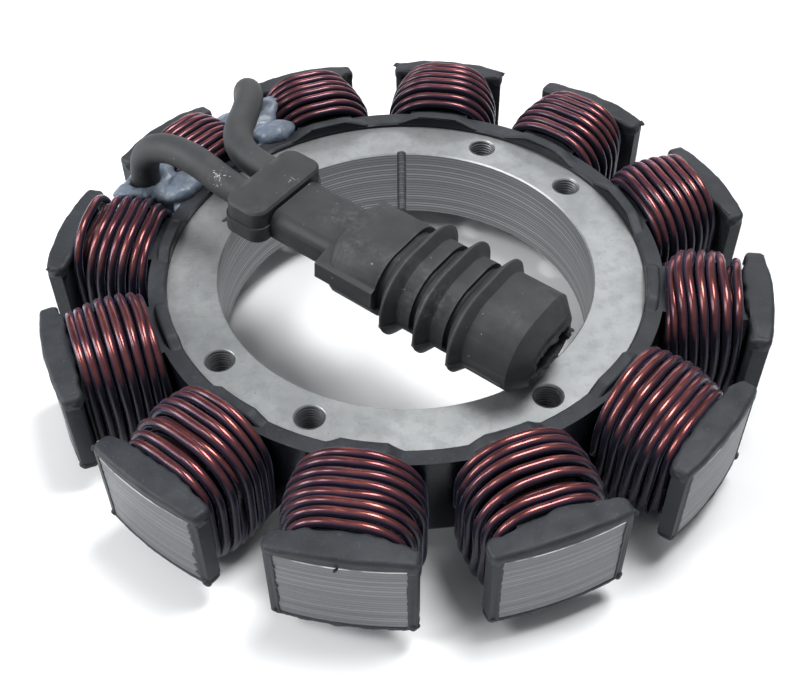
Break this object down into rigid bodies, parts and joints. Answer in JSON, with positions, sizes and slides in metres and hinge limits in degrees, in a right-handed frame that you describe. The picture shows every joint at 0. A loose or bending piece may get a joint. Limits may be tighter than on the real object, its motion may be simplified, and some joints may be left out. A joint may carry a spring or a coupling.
{
  "type": "wound stator",
  "caption": "Laminated stator ring with wound outer poles in a black overmould, with heavy leads to a ribbed rubber plug that lies across the bore.",
  "frame": {"origin": "on the bore axis at mid height of the lamination stack", "axes": "+Z along the bore axis, out of the face that the plug lies on; +Y towards the groove in the bore"},
  "size_m": [0.127, 0.127, 0.0391],
  "materials": {
    "lamination_steel": "satin rolled sheet with fine edge lines on the bore and pole faces",
    "overmould_plastic": "satin black moulded resin, glossy on the slot walls",
    "enamelled_wire": "glossy dark red brown enamel over copper, varnished",
    "sealant": "wet-looking blue grey sealing compound, wrinkled",
    "cable_jacket": "matte dark grey rubber jacket",
    "plug_rubber": "matte dark grey moulded rubber",
    "terminal_metal": "dull turned brass"
  },
  "bodies": {
    "root": {"core_stack": "lamination_steel", "overmould": "overmould_plastic", "coil_01": "enamelled_wire", "coil_02": "enamelled_wire", "coil_03": "enamelled_wire", "coil_04": "enamelled_wire", "coil_05": "enamelled_wire", "coil_06": "enamelled_wire", "coil_07": "enamelled_wire", "coil_08": "enamelled_wire", "coil_09": "enamelled_wire", "coil_10": "enamelled_wire", "coil_11": "enamelled_wire", "coil_12": "enamelled_wire", "crossover_wires": "enamelled_wire", "sealant_a": "sealant", "sealant_b": "sealant", "lead_a": "cable_jacket", "lead_b": "cable_jacket", "grommet": "plug_rubber", "plug_body": "plug_rubber", "terminal_a": "terminal_metal", "terminal_b": "terminal_metal"}
  },
  "joints": []
}
